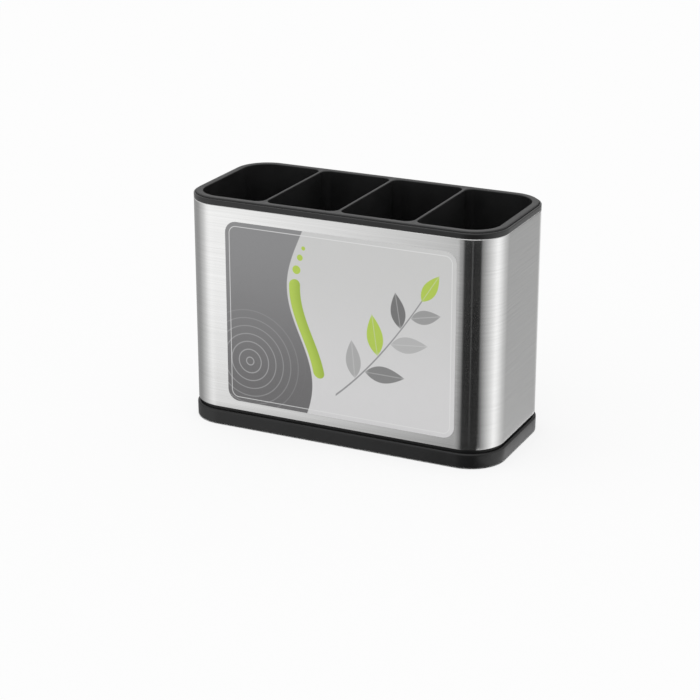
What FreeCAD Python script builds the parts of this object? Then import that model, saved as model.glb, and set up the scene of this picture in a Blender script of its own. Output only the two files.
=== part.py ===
import FreeCAD, Part
import math
import os
import Sketcher

# Countertop utensil holder: a brushed steel sleeve with a black collar at its top and a black ring at its
# foot, a black insert with four pockets hung in the collar, and a drip tray on rubber feet with a spout
# that draws out at the back. Millimetres, +X along the length, -Y the front, +Z up.
# The origin is on the counter, below the middle of the tray.

doc = FreeCAD.newDocument("utensil_holder")

# Driving sizes. Heights stack upward from the counter, and widths step inward from the sleeve's outer face.
SIZES = [
    ("sleeve_length", 222.0, "steel sleeve, end to end"),
    ("sleeve_depth", 100.0, "steel sleeve, front to back"),
    ("sleeve_corner", 24.0, "outer radius of the sleeve's upright corners"),
    ("sleeve_height", 141.2, "steel between its two hems"),
    ("sheet", 0.5, "thickness of the steel sheet"),
    ("hem_width", 2.4, "how far each hem turns in past the sheet"),
    ("hem_bend", 0.7, "outer radius where the sheet turns into a hem"),
    ("seam_width", 0.6, "width of the weld seam's groove at the back"),
    ("seam_depth", 0.2, "depth of the weld seam's groove"),
    ("foot_stand", 0.8, "gap between the counter and the tray's skirt"),
    ("skirt_height", 9.5, "tray, from the foot of its skirt to its rim"),
    ("skirt_draw", 0.1, "how far the skirt draws in at its foot"),
    ("tray_overhang", 0.9, "how far the tray's rim stands out past the sleeve"),
    ("tray_wall", 1.9, "thickness of the tray's rim and skirt"),
    ("tray_floor", 1.4, "thickness of the tray's floor"),
    ("tray_edge", 1.8, "rounding of the tray's outer top edge"),
    ("basin_depth", 2.2, "depth of the basin that catches the drips"),
    ("basin_edge", 0.3, "rounding of the tray's inner top edge"),
    ("seat_clearance", 0.4, "gap between the bottom ring and the basin's wall"),
    ("shadow_gap", 2.2, "height of the dark recess between tray and steel"),
    ("hem_clearance", 0.1, "gap between a hem and the neck and clips that hold it"),
    ("neck_wall", 1.0, "thickness of the necks of collar and ring"),
    ("neck_height", 10.0, "how far each neck reaches into the sleeve"),
    ("clip_length", 24.0, "length of each clip that snaps behind a hem"),
    ("clip_height", 1.6, "height of a clip"),
    ("clip_reach", 1.2, "how far a clip stands out of its neck"),
    ("collar_height", 3.5, "visible height of the top collar"),
    ("collar_edge", 0.35, "rounding of the collar's outer lower edge"),
    ("collar_round", 0.8, "rounding of the collar's outer top edge"),
    ("rebate_wall", 1.1, "width of the collar's top outside the lip's rebate"),
    ("rebate_depth", 1.0, "depth of the rebate that the lip lies in"),
    ("lip_gap", 0.35, "gap between the lip and the rebate's wall"),
    ("lip_height", 2.0, "thickness of the insert's lip"),
    ("lip_round", 0.9, "rounding of the lip's outer top edge"),
    ("insert_clearance", 0.4, "gap between the insert and the collar"),
    ("insert_wall", 1.8, "thickness of the insert's outer walls"),
    ("insert_floor", 2.0, "thickness of the insert's floor"),
    ("insert_draw", 1.2, "how far the insert's walls lean in at the foot"),
    ("divider", 2.0, "thickness of the dividers at their top"),
    ("pocket_round", 6.0, "radius of the pockets' corners beside a divider"),
    ("pocket_edge", 0.55, "rounding of the pockets' top edges"),
    ("pocket_floor_round", 2.5, "rounding where a pocket's walls meet its floor"),
    ("drip_space", 7.8, "gap between the tray's floor and the insert"),
    ("drain_slot_length", 54.0, "length of a drain slot in a pocket's floor"),
    ("drain_slot_width", 4.0, "width of a drain slot"),
    ("drain_slot_pitch", 9.0, "distance from one drain slot to the next"),
    ("drain_slot_corner", 1.0, "radius of a drain slot's corners"),
    ("foot_radius", 5.0, "radius of a rubber foot"),
    ("foot_proud", 1.4, "how far a foot stands out of its boss"),
    ("foot_reach", 1.8, "how deep a foot sits in its boss"),
    ("foot_edge", 0.5, "rounding of a foot's lower edge"),
    ("foot_fit", 0.05, "gap round a foot in its boss"),
    ("boss_wall", 2.0, "wall of a boss round its foot"),
    ("foot_end_inset", 15.0, "foot's centre from the sleeve's end"),
    ("foot_side_inset", 20.0, "foot's centre from the sleeve's front or back"),
    ("spout_foot_gap", 3.1, "gap between the spout's rails and the right feet's bosses"),
    ("spout_width", 24.0, "outer width of the spout's trough"),
    ("spout_lift", 0.6, "how far the spout lies above the foot of the skirt"),
    ("spout_length", 62.0, "length of the spout's trough"),
    ("spout_wall", 1.4, "thickness of the trough's walls"),
    ("spout_floor", 1.2, "thickness of the trough's floor"),
    ("spout_set_back", 0.8, "how far the trough ends inside the tray's rim"),
    ("spout_lip", 0.6, "how far the drip lip stands out of the trough"),
    ("flange_length", 15.5, "length of the spout's flanges, which stop it at the skirt"),
    ("flange_reach", 2.0, "how far the spout's flanges stand out"),
    ("flange_thickness", 1.2, "thickness of the spout's flanges"),
    ("slide_clearance", 0.3, "gap round the spout in its rails"),
    ("rail_wall", 1.6, "thickness of the rails and their stop"),
    ("rail_lip", 1.2, "thickness of the rails' lips"),
    ("tray_drain_length", 14.0, "drain hole in the tray's floor, along the length"),
    ("tray_drain_width", 7.0, "drain hole in the tray's floor, across"),
    ("tray_drain_corner", 2.5, "radius of the drain hole's corners"),
    ("tray_drain_margin", 1.0, "drain hole from the drawn-out trough's end"),
    ("label_left_gap", 9.0, "label's left edge from the flat front's left end"),
    ("label_right_gap", 1.2, "label's right edge from the flat front's right end"),
    ("label_top_gap", 9.5, "label's top from the steel's top"),
    ("label_bottom_gap", 6.8, "label's foot from the steel's foot"),
    ("label_corner", 8.0, "radius of the label's corners"),
    ("label_film", 0.2, "thickness of the label"),
    ("overrun", 1.0, "how far cuts run past what they cut"),
]
POCKETS = 4
DRAIN_SLOTS = 4

sheet = doc.addObject("Spreadsheet::Sheet", "Sizes")
for row, (alias, value, meaning) in enumerate(SIZES, start=1):
    sheet.set(f"A{row}", meaning)
    sheet.set(f"B{row}", str(value))
    sheet.setAlias(f"B{row}", alias)
doc.recompute()

# Levels above the counter.
TRAY_TOP = "(Sizes.foot_stand + Sizes.skirt_height)"
BASIN_FLOOR = f"({TRAY_TOP} - Sizes.basin_depth)"
TRAY_UNDERSIDE = f"({BASIN_FLOOR} - Sizes.tray_floor)"
SLEEVE_FOOT = f"({TRAY_TOP} + Sizes.shadow_gap)"
SLEEVE_TOP = f"({SLEEVE_FOOT} + Sizes.sleeve_height)"
COLLAR_TOP = f"({SLEEVE_TOP} + Sizes.collar_height)"
LIP_SEAT = f"({COLLAR_TOP} - Sizes.rebate_depth)"
RIM_TOP = f"({LIP_SEAT} + Sizes.lip_height)"
INSERT_FOOT = f"({BASIN_FLOOR} + Sizes.drip_space)"
POCKET_FLOOR = f"({INSERT_FOOT} + Sizes.insert_floor)"

# Steps inward from the sleeve's outer face. A negative step stands out past it.
RIM_STEP = "(-Sizes.tray_overhang)"
BASIN_STEP = "(Sizes.tray_wall - Sizes.tray_overhang)"
HOLLOW_STEP = f"({BASIN_STEP} + Sizes.skirt_draw)"
RING_STEP = f"({BASIN_STEP} + Sizes.seat_clearance)"
HEM_STEP = "(Sizes.sheet + Sizes.hem_width)"
NECK_STEP = f"({HEM_STEP} + Sizes.hem_clearance)"
BORE_STEP = f"({NECK_STEP} + Sizes.neck_wall)"
TUB_STEP = f"({BORE_STEP} + Sizes.insert_clearance)"
LIP_STEP = "(Sizes.rebate_wall + Sizes.lip_gap)"
POCKET_STEP = f"({TUB_STEP} + Sizes.insert_wall)"

# The insert's tub and its pockets lean in alike from the lip's seat to the insert's foot.
INSERT_LEAN = f"atan(Sizes.insert_draw / ({LIP_SEAT} - {INSERT_FOOT}))"
SKIRT_LEAN = "atan(Sizes.skirt_draw / Sizes.skirt_height)"

# The feet stand in round bosses, one in each corner of the tray.
BOSS_RADIUS = "(Sizes.foot_radius + Sizes.boss_wall)"
FOOT_ACROSS = "(Sizes.sleeve_length / 2 - Sizes.foot_end_inset)"
FOOT_ALONG = "(Sizes.sleeve_depth / 2 - Sizes.foot_side_inset)"
FOOT_PLACES = {
    f"foot_{side}_{end}": (f"{x_sign} * {FOOT_ACROSS}", f"{y_sign} * {FOOT_ALONG}")
    for side, y_sign in (("front", -1), ("back", 1))
    for end, x_sign in (("left", -1), ("right", 1))
}

# The spout's trough lies along Y under the tray's floor, beside the right feet. Its flanges run in rails.
MOUTH_HALF = "(Sizes.spout_width / 2 + Sizes.slide_clearance)"
RAIL_INSIDE = f"({MOUTH_HALF} + Sizes.flange_reach)"
RAIL_OUTSIDE = f"({RAIL_INSIDE} + Sizes.rail_wall)"
SPOUT_MIDDLE = f"({FOOT_ACROSS} - {BOSS_RADIUS} - Sizes.spout_foot_gap - {RAIL_OUTSIDE})"
SPOUT_MOUTH = "(Sizes.sleeve_depth / 2 + Sizes.tray_overhang - Sizes.spout_set_back)"
SPOUT_BACK_END = f"({SPOUT_MOUTH} - Sizes.spout_length)"
SPOUT_TOP = f"({TRAY_UNDERSIDE} - Sizes.slide_clearance)"
SPOUT_FOOT = "(Sizes.foot_stand + Sizes.spout_lift)"
FLANGE_FOOT = f"({SPOUT_TOP} - Sizes.flange_thickness)"
SKIRT_INSIDE = f"(Sizes.sleeve_depth / 2 - {HOLLOW_STEP})"
DRAWN_BACK_END = f"({SKIRT_INSIDE} - Sizes.slide_clearance - Sizes.flange_length)"
RAIL_LIP_TOP = f"({FLANGE_FOOT} - Sizes.slide_clearance)"
RAIL_FOOT = f"({RAIL_LIP_TOP} - Sizes.rail_lip)"
STOP_FACE = f"({SPOUT_BACK_END} - Sizes.slide_clearance)"
RAIL_START = f"({STOP_FACE} - Sizes.rail_wall)"


def number(expression):
    """The value that an expression on the sheet has now."""
    return float(sheet.evalExpression(expression))


def new_body(label):
    """An empty body whose label names its file."""
    body = doc.addObject("PartDesign::Body", label)
    body.Label = label
    return body


def sketch_on(body, name, plane, along_normal):
    """A sketch on one of the body's own origin planes, moved along the plane's normal."""
    sketch = body.newObject("Sketcher::SketchObject", name)
    origin_plane = next(item for item in body.Origin.OriginFeatures if item.Role == plane)
    sketch.AttachmentSupport = [(origin_plane, "")]
    sketch.MapMode = "FlatFace"
    sketch.setExpression("AttachmentOffset.Base.z", along_normal)
    return sketch


def bind(sketch, constraint, expression):
    """Add a dimension whose value follows an expression."""
    index = sketch.addConstraint(constraint)
    name = f"size_{index}"
    sketch.renameConstraint(index, name)
    sketch.setExpression(f"Constraints.{name}", expression)


def draw_polygon(sketch, corners):
    """A closed outline of straight lines, each corner placed by a pair of expressions."""
    points = [FreeCAD.Vector(number(across), number(upward), 0) for across, upward in corners]
    ends = points[1:] + points[:1]
    first = sketch.GeometryCount
    for start, end in zip(points, ends):
        sketch.addGeometry(Part.LineSegment(start, end), False)
    count = len(points)
    for side in range(count):
        following = first + (side + 1) % count
        sketch.addConstraint(Sketcher.Constraint("Coincident", first + side, 2, following, 1))
    for side, (across, upward) in enumerate(corners):
        bind(sketch, Sketcher.Constraint("DistanceX", first + side, 1, points[side].x), across)
        bind(sketch, Sketcher.Constraint("DistanceY", first + side, 1, points[side].y), upward)


def draw_rectangle(sketch, left, right, low, high):
    """A plain rectangle between four expressions."""
    draw_polygon(sketch, [(left, low), (right, low), (right, high), (left, high)])


def draw_rounded(sketch, left, right, low, high, radii):
    """A rectangle with a radius of its own at each corner: low left, low right, high right, high left."""
    x0, x1, y0, y1 = (number(side) for side in (left, right, low, high))
    low_left, low_right, high_right, high_left = (number(radius) for radius in radii)
    lines = [
        ((x0 + low_left, y0), (x1 - low_right, y0)),
        ((x1, y0 + low_right), (x1, y1 - high_right)),
        ((x1 - high_right, y1), (x0 + high_left, y1)),
        ((x0, y1 - high_left), (x0, y0 + low_left)),
    ]
    corners = [
        ((x1 - low_right, y0 + low_right), low_right),
        ((x1 - high_right, y1 - high_right), high_right),
        ((x0 + high_left, y1 - high_left), high_left),
        ((x0 + low_left, y0 + low_left), low_left),
    ]
    quarter = math.pi / 2
    upward = FreeCAD.Vector(0, 0, 1)
    first = sketch.GeometryCount
    for start, end in lines:
        sketch.addGeometry(Part.LineSegment(FreeCAD.Vector(*start), FreeCAD.Vector(*end)), False)
    for turn, (centre, radius) in enumerate(corners, start=-1):
        circle = Part.Circle(FreeCAD.Vector(*centre), upward, radius)
        sketch.addGeometry(Part.ArcOfCircle(circle, turn * quarter, (turn + 1) * quarter), False)
    sides = len(lines)
    for side in range(sides):
        arc = first + sides + side
        sketch.addConstraint(Sketcher.Constraint("Tangent", first + side, 2, arc, 1))
        sketch.addConstraint(Sketcher.Constraint("Tangent", arc, 2, first + (side + 1) % sides, 1))
        direction = "Vertical" if side % 2 else "Horizontal"
        sketch.addConstraint(Sketcher.Constraint(direction, first + side))
    bind(sketch, Sketcher.Constraint("DistanceY", first, 1, y0), low)
    bind(sketch, Sketcher.Constraint("DistanceX", first + 1, 1, x1), right)
    bind(sketch, Sketcher.Constraint("DistanceY", first + 2, 1, y1), high)
    bind(sketch, Sketcher.Constraint("DistanceX", first + 3, 1, x0), left)
    arc_radii = radii[1:] + radii[:1]
    for side, (radius, (centre, value)) in enumerate(zip(arc_radii, corners)):
        bind(sketch, Sketcher.Constraint("Radius", first + sides + side, value), radius)


def draw_plan(sketch, step):
    """The sleeve's plan, stepped inward all round."""
    half_length = f"(Sizes.sleeve_length / 2 - {step})"
    half_depth = f"(Sizes.sleeve_depth / 2 - {step})"
    radius = f"(Sizes.sleeve_corner - {step})"
    draw_rounded(sketch, f"-{half_length}", half_length, f"-{half_depth}", half_depth, [radius] * 4)


def draw_circle(sketch, across, upward, radius):
    """A circle placed and sized by expressions."""
    centre = FreeCAD.Vector(number(across), number(upward), 0)
    circle = Part.Circle(centre, FreeCAD.Vector(0, 0, 1), number(radius))
    index = sketch.addGeometry(circle, False)
    bind(sketch, Sketcher.Constraint("DistanceX", index, 3, centre.x), across)
    bind(sketch, Sketcher.Constraint("DistanceY", index, 3, centre.y), upward)
    bind(sketch, Sketcher.Constraint("Radius", index, number(radius)), radius)


def extrude(body, kind, name, sketch, length, against=False, lean=None):
    """A pad or pocket of a sketch; against turns it against the kind's own direction."""
    before = body.Shape.Volume if body.Tip else 0
    feature = body.newObject(kind, name)
    feature.Profile = sketch
    feature.setExpression("Length", length)
    feature.Reversed = against
    if lean:
        feature.setExpression("TaperAngle", lean)
    doc.recompute()
    gain = body.Shape.Volume - before
    if gain == 0 or (gain > 0) != (kind == "PartDesign::Pad"):
        raise RuntimeError(f"{body.Label}: {name} changes nothing, or the wrong way")
    return feature


def add(body, name, sketch, length, against=False, lean=None):
    return extrude(body, "PartDesign::Pad", name, sketch, length, against, lean)


def cut(body, name, sketch, length, against=False, lean=None):
    return extrude(body, "PartDesign::Pocket", name, sketch, length, against, lean)


# Edges this share of the overrun apart count as one.
NEAR_SHARE = 0.01


def level_edges(feature, level, on_outside, step="0"):
    """Names of the edges at one level, on the plan's outline at a step or everywhere but on it."""
    half_length = number(f"Sizes.sleeve_length / 2 - {step}")
    half_depth = number(f"Sizes.sleeve_depth / 2 - {step}")
    radius = number(f"Sizes.sleeve_corner - {step}")
    height = number(level)
    near = NEAR_SHARE * number("Sizes.overrun")
    names = []
    for index, edge in enumerate(feature.Shape.Edges, start=1):
        box = edge.BoundBox
        if abs(box.ZMin - height) > near or abs(box.ZMax - height) > near:
            continue
        middle = edge.valueAt((edge.FirstParameter + edge.LastParameter) / 2)
        beyond_x = max(abs(middle.x) - half_length + radius, 0)
        beyond_y = max(abs(middle.y) - half_depth + radius, 0)
        outside = abs((beyond_x ** 2 + beyond_y ** 2) ** 0.5 - radius) < near
        if outside == on_outside:
            names.append(f"Edge{index}")
    return names


def round_edges(body, name, feature, edges, radius):
    """Round a feature's named edges."""
    fillet = body.newObject("PartDesign::Fillet", name)
    fillet.Base = (feature, edges)
    fillet.setExpression("Radius", radius)
    doc.recompute()
    return fillet


def draw_clips(sketch, inner_step, outer_step):
    """A short bar at the middle of each side, from one step of the plan out to another."""
    half_clip = "Sizes.clip_length / 2"
    for half, along_x in (("Sizes.sleeve_depth / 2", True), ("Sizes.sleeve_length / 2", False)):
        near = f"({half} - {inner_step})"
        far = f"({half} - {outer_step})"
        for low, high in ((f"-{far}", f"-{near}"), (near, far)):
            if along_x:
                draw_rectangle(sketch, f"-{half_clip}", half_clip, low, high)
            else:
                draw_rectangle(sketch, low, high, f"-{half_clip}", half_clip)


def make_drip_tray():
    """Shallow basin on a skirt, with bosses for the feet and rails for the spout underneath."""
    body = new_body("drip_tray")
    sketch = sketch_on(body, "tray_plan", "XY_Plane", TRAY_TOP)
    draw_plan(sketch, RIM_STEP)
    add(body, "tray_block", sketch, "Sizes.skirt_height", against=True, lean=f"-{SKIRT_LEAN}")

    sketch = sketch_on(body, "basin_plan", "XY_Plane", TRAY_TOP)
    draw_plan(sketch, BASIN_STEP)
    cut(body, "basin", sketch, "Sizes.basin_depth")

    sketch = sketch_on(body, "hollow_plan", "XY_Plane", "Sizes.foot_stand")
    draw_plan(sketch, HOLLOW_STEP)
    hollow = cut(body, "hollow", sketch, f"{TRAY_UNDERSIDE} - Sizes.foot_stand", against=True)

    outer_edges = level_edges(hollow, TRAY_TOP, True, RIM_STEP)
    rim_width = "(Sizes.tray_wall - 2 * Sizes.basin_edge)"
    rim = round_edges(body, "rim_round", hollow, outer_edges, f"min(Sizes.tray_edge; {rim_width})")
    inner_edges = level_edges(rim, TRAY_TOP, True, BASIN_STEP)
    round_edges(body, "basin_round", rim, inner_edges, "Sizes.basin_edge")

    bosses = sketch_on(body, "boss_plan", "XY_Plane", "Sizes.foot_proud")
    sockets = sketch_on(body, "socket_plan", "XY_Plane", "Sizes.foot_proud")
    for across, upward in FOOT_PLACES.values():
        draw_circle(bosses, across, upward, BOSS_RADIUS)
        draw_circle(sockets, across, upward, "Sizes.foot_radius + Sizes.foot_fit")
    add(body, "bosses", bosses, f"{TRAY_UNDERSIDE} - Sizes.foot_proud")
    cut(body, "sockets", sockets, "Sizes.foot_reach", against=True)

    sketch = sketch_on(body, "rail_section", "XZ_Plane", f"-{RAIL_START}")
    for side in (-1, 1):
        web_out, web_in, lip_in = (
            f"({SPOUT_MIDDLE} + {side} * {reach})"
            for reach in (RAIL_OUTSIDE, RAIL_INSIDE, MOUTH_HALF)
        )
        draw_polygon(sketch, [
            (web_out, RAIL_FOOT), (lip_in, RAIL_FOOT), (lip_in, RAIL_LIP_TOP),
            (web_in, RAIL_LIP_TOP), (web_in, TRAY_UNDERSIDE), (web_out, TRAY_UNDERSIDE),
        ])
    rail_length = f"{SKIRT_INSIDE} + Sizes.tray_wall / 2 - {RAIL_START}"
    add(body, "rails", sketch, rail_length, against=True)

    sketch = sketch_on(body, "stop_section", "XZ_Plane", f"-{RAIL_START}")
    stop_left = f"{SPOUT_MIDDLE} - {RAIL_OUTSIDE}"
    stop_right = f"{SPOUT_MIDDLE} + {RAIL_OUTSIDE}"
    draw_rectangle(sketch, stop_left, stop_right, RAIL_FOOT, TRAY_UNDERSIDE)
    add(body, "stop", sketch, "Sizes.rail_wall", against=True)

    sketch = sketch_on(body, "mouth_section", "XZ_Plane", f"-{SKIRT_INSIDE}")
    mouth_left = f"{SPOUT_MIDDLE} - {MOUTH_HALF}"
    mouth_right = f"{SPOUT_MIDDLE} + {MOUTH_HALF}"
    draw_rectangle(sketch, mouth_left, mouth_right, "-Sizes.overrun", TRAY_UNDERSIDE)
    cut(body, "mouth", sketch, "Sizes.tray_wall + Sizes.skirt_draw + Sizes.overrun")

    sketch = sketch_on(body, "drain_plan", "XY_Plane", BASIN_FLOOR)
    drain_low = f"({DRAWN_BACK_END} + Sizes.spout_wall + Sizes.tray_drain_margin)"
    half_drain = "Sizes.tray_drain_length / 2"
    draw_rounded(
        sketch, f"{SPOUT_MIDDLE} - {half_drain}", f"{SPOUT_MIDDLE} + {half_drain}",
        drain_low, f"{drain_low} + Sizes.tray_drain_width", ["Sizes.tray_drain_corner"] * 4,
    )
    cut(body, "drain", sketch, "Sizes.tray_floor")
    return body


def make_foot(label):
    """Rubber disc that stands in one of the tray's bosses."""
    body = new_body(label)
    sketch = sketch_on(body, f"{label}_plan", "XY_Plane", "0")
    draw_circle(sketch, "0", "0", "Sizes.foot_radius")
    disc = add(body, f"{label}_disc", sketch, "Sizes.foot_proud + Sizes.foot_reach")
    lowest = [
        f"Edge{index}" for index, edge in enumerate(disc.Shape.Edges, start=1)
        if edge.BoundBox.ZMax < number("Sizes.foot_proud")
    ]
    round_edges(body, f"{label}_edge", disc, lowest, "Sizes.foot_edge")
    across, upward = FOOT_PLACES[label]
    body.setExpression("Placement.Base.x", across)
    body.setExpression("Placement.Base.y", upward)
    return body


def make_drain_spout():
    """Open trough that slides in the rails under the tray, closed at its back end, with a drip lip."""
    body = new_body("drain_spout")
    half = "Sizes.spout_width / 2"
    left = f"({SPOUT_MIDDLE} - {half})"
    right = f"({SPOUT_MIDDLE} + {half})"
    sketch = sketch_on(body, "trough_section", "XZ_Plane", f"-{SPOUT_BACK_END}")
    draw_rectangle(sketch, left, right, SPOUT_FOOT, SPOUT_TOP)
    add(body, "trough_block", sketch, "Sizes.spout_length", against=True)

    sketch = sketch_on(body, "channel_section", "XZ_Plane", f"-({SPOUT_BACK_END} + Sizes.spout_wall)")
    draw_rectangle(
        sketch, f"{left} + Sizes.spout_wall", f"{right} - Sizes.spout_wall",
        f"{SPOUT_FOOT} + Sizes.spout_floor", f"{SPOUT_TOP} + Sizes.overrun",
    )
    cut(body, "channel", sketch, "Sizes.spout_length")

    sketch = sketch_on(body, "flange_section", "XZ_Plane", f"-{SPOUT_BACK_END}")
    flange_ends = (
        (f"{left} - Sizes.flange_reach", f"{left} + Sizes.spout_wall"),
        (f"{right} - Sizes.spout_wall", f"{right} + Sizes.flange_reach"),
    )
    for outer, inner in flange_ends:
        draw_rectangle(sketch, outer, inner, FLANGE_FOOT, SPOUT_TOP)
    add(body, "flanges", sketch, "Sizes.flange_length", against=True)

    sketch = sketch_on(body, "lip_section", "XZ_Plane", f"-{SPOUT_MOUTH}")
    draw_rectangle(
        sketch, f"{left} + Sizes.spout_wall", f"{right} - Sizes.spout_wall",
        SPOUT_FOOT, f"{SPOUT_FOOT} + Sizes.spout_floor",
    )
    add(body, "drip_lip", sketch, "Sizes.spout_lip", against=True)
    return body


def make_bottom_ring():
    """Ring that stands in the basin, carries the sleeve's lower hem and clips behind it."""
    body = new_body("bottom_ring")
    sketch = sketch_on(body, "shoulder_plan", "XY_Plane", BASIN_FLOOR)
    draw_plan(sketch, RING_STEP)
    add(body, "shoulder", sketch, f"{SLEEVE_FOOT} - {BASIN_FLOOR}")

    sketch = sketch_on(body, "neck_plan", "XY_Plane", SLEEVE_FOOT)
    draw_plan(sketch, NECK_STEP)
    add(body, "neck", sketch, "Sizes.neck_height")

    clip_foot = f"{SLEEVE_FOOT} + Sizes.sheet + Sizes.hem_clearance"
    sketch = sketch_on(body, "clip_plan", "XY_Plane", clip_foot)
    draw_clips(sketch, BORE_STEP, f"({NECK_STEP} - Sizes.clip_reach)")
    add(body, "clips", sketch, "Sizes.clip_height")

    sketch = sketch_on(body, "bore_plan", "XY_Plane", BASIN_FLOOR)
    draw_plan(sketch, BORE_STEP)
    ring_height = f"{SLEEVE_FOOT} + Sizes.neck_height - {BASIN_FLOOR}"
    cut(body, "bore", sketch, f"{ring_height} + Sizes.overrun", against=True)
    return body


def make_steel_sleeve():
    """Tube of steel sheet with a hem turned in at each end and its weld seam at the back."""
    body = new_body("steel_sleeve")
    sketch = sketch_on(body, "sleeve_plan", "XY_Plane", SLEEVE_FOOT)
    draw_plan(sketch, "0")
    add(body, "sleeve_block", sketch, "Sizes.sleeve_height")

    sketch = sketch_on(body, "inside_plan", "XY_Plane", f"{SLEEVE_FOOT} + Sizes.sheet")
    draw_plan(sketch, "Sizes.sheet")
    cut(body, "inside", sketch, "Sizes.sleeve_height - 2 * Sizes.sheet", against=True)

    sketch = sketch_on(body, "hem_plan", "XY_Plane", SLEEVE_FOOT)
    draw_plan(sketch, HEM_STEP)
    opening = cut(body, "hem_opening", sketch, "Sizes.sleeve_height", against=True)

    bends = level_edges(opening, SLEEVE_FOOT, True) + level_edges(opening, SLEEVE_TOP, True)
    round_edges(body, "hem_bends", opening, bends, "Sizes.hem_bend")

    sketch = sketch_on(body, "seam_plan", "XY_Plane", SLEEVE_FOOT)
    back = "Sizes.sleeve_depth / 2"
    half_seam = "Sizes.seam_width / 2"
    seam_root = f"{back} - Sizes.seam_depth"
    draw_rectangle(sketch, f"-{half_seam}", half_seam, seam_root, f"{back} + Sizes.overrun")
    cut(body, "seam", sketch, "Sizes.sleeve_height", against=True)
    return body


def make_top_collar():
    """Band that sits on the sleeve's upper hem, with a neck clipped through it."""
    body = new_body("top_collar")
    sketch = sketch_on(body, "band_plan", "XY_Plane", SLEEVE_TOP)
    draw_plan(sketch, "0")
    band = add(body, "band", sketch, "Sizes.collar_height")
    top_edges = level_edges(band, COLLAR_TOP, True)
    shoulder = round_edges(body, "band_round", band, top_edges, "Sizes.collar_round")
    foot_edges = level_edges(shoulder, SLEEVE_TOP, True)
    round_edges(body, "band_edge", shoulder, foot_edges, "Sizes.collar_edge")

    sketch = sketch_on(body, "rebate_plan", "XY_Plane", COLLAR_TOP)
    draw_plan(sketch, "Sizes.rebate_wall")
    cut(body, "rebate", sketch, "Sizes.rebate_depth")

    sketch = sketch_on(body, "collar_neck_plan", "XY_Plane", SLEEVE_TOP)
    draw_plan(sketch, NECK_STEP)
    add(body, "collar_neck", sketch, "Sizes.neck_height", against=True)

    clip_top = f"{SLEEVE_TOP} - Sizes.sheet - Sizes.hem_clearance"
    sketch = sketch_on(body, "collar_clip_plan", "XY_Plane", clip_top)
    draw_clips(sketch, BORE_STEP, f"({NECK_STEP} - Sizes.clip_reach)")
    add(body, "collar_clips", sketch, "Sizes.clip_height", against=True)

    sketch = sketch_on(body, "collar_bore_plan", "XY_Plane", COLLAR_TOP)
    draw_plan(sketch, BORE_STEP)
    cut(body, "collar_bore", sketch, "Sizes.collar_height + Sizes.neck_height + Sizes.overrun")
    return body


def make_cutlery_insert():
    """Moulding with a row of pockets, hung by its lip, with drain slots in each floor."""
    body = new_body("cutlery_insert")
    sketch = sketch_on(body, "tub_plan", "XY_Plane", LIP_SEAT)
    draw_plan(sketch, TUB_STEP)
    add(body, "tub", sketch, f"{LIP_SEAT} - {INSERT_FOOT}", against=True, lean=f"-{INSERT_LEAN}")

    sketch = sketch_on(body, "lip_plan", "XY_Plane", LIP_SEAT)
    draw_plan(sketch, LIP_STEP)
    lip = add(body, "lip", sketch, "Sizes.lip_height")
    lip_edges = level_edges(lip, RIM_TOP, True, LIP_STEP)
    round_edges(body, "lip_rounding", lip, lip_edges, "Sizes.lip_round")

    first_side = f"(-Sizes.sleeve_length / 2 + {POCKET_STEP})"
    row_length = f"(Sizes.sleeve_length - 2 * {POCKET_STEP})"
    width = f"(({row_length} - {POCKETS - 1} * Sizes.divider) / {POCKETS})"
    pitch = f"({width} + Sizes.divider)"
    half_depth = f"(Sizes.sleeve_depth / 2 - {POCKET_STEP})"
    end_radius = f"(Sizes.sleeve_corner - {POCKET_STEP})"
    depth = f"{RIM_TOP} - {POCKET_FLOOR}"
    for place in range(POCKETS):
        left_radius = end_radius if place == 0 else "Sizes.pocket_round"
        right_radius = end_radius if place == POCKETS - 1 else "Sizes.pocket_round"
        left = f"({first_side} + {place} * {pitch})"
        sketch = sketch_on(body, f"pocket_plan_{place + 1}", "XY_Plane", RIM_TOP)
        radii = [left_radius, right_radius, right_radius, left_radius]
        draw_rounded(sketch, left, f"{left} + {width}", f"-{half_depth}", half_depth, radii)
        pocket = cut(body, f"pocket_{place + 1}", sketch, depth, lean=f"-{INSERT_LEAN}")

    floors = level_edges(pocket, POCKET_FLOOR, False)
    floor_round = round_edges(body, "pocket_floors", pocket, floors, "Sizes.pocket_floor_round")
    mouths = level_edges(floor_round, RIM_TOP, False, f"({LIP_STEP} + Sizes.lip_round)")
    round_edges(body, "pocket_mouths", floor_round, mouths, "Sizes.pocket_edge")

    sketch = sketch_on(body, "drain_slot_plan", "XY_Plane", INSERT_FOOT)
    row = f"({DRAIN_SLOTS - 1} * Sizes.drain_slot_pitch)"
    slot_left = f"({first_side} + {width} / 2 - {row} / 2 - Sizes.drain_slot_width / 2)"
    half_slot = "Sizes.drain_slot_length / 2"
    slot_right = f"{slot_left} + Sizes.drain_slot_width"
    radii = ["Sizes.drain_slot_corner"] * 4
    draw_rounded(sketch, slot_left, slot_right, f"-{half_slot}", half_slot, radii)
    slot = cut(body, "drain_slot", sketch, "Sizes.insert_floor", against=True)

    repeats = body.newObject("PartDesign::MultiTransform", "drain_slots")
    steps = (("in_a_pocket", row, DRAIN_SLOTS), ("in_each_pocket", f"{POCKETS - 1} * {pitch}", POCKETS))
    x_axis = next(item for item in body.Origin.OriginFeatures if item.Role == "X_Axis")
    patterns = []
    for name, reach, count in steps:
        pattern = doc.addObject("PartDesign::LinearPattern", name)
        body.addObject(pattern)
        pattern.Direction = (x_axis, [""])
        pattern.setExpression("Length", reach)
        pattern.Occurrences = count
        patterns.append(pattern)
    repeats.Originals = [slot]
    repeats.Transformations = patterns
    body.Tip = repeats
    doc.recompute()
    return body


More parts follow.
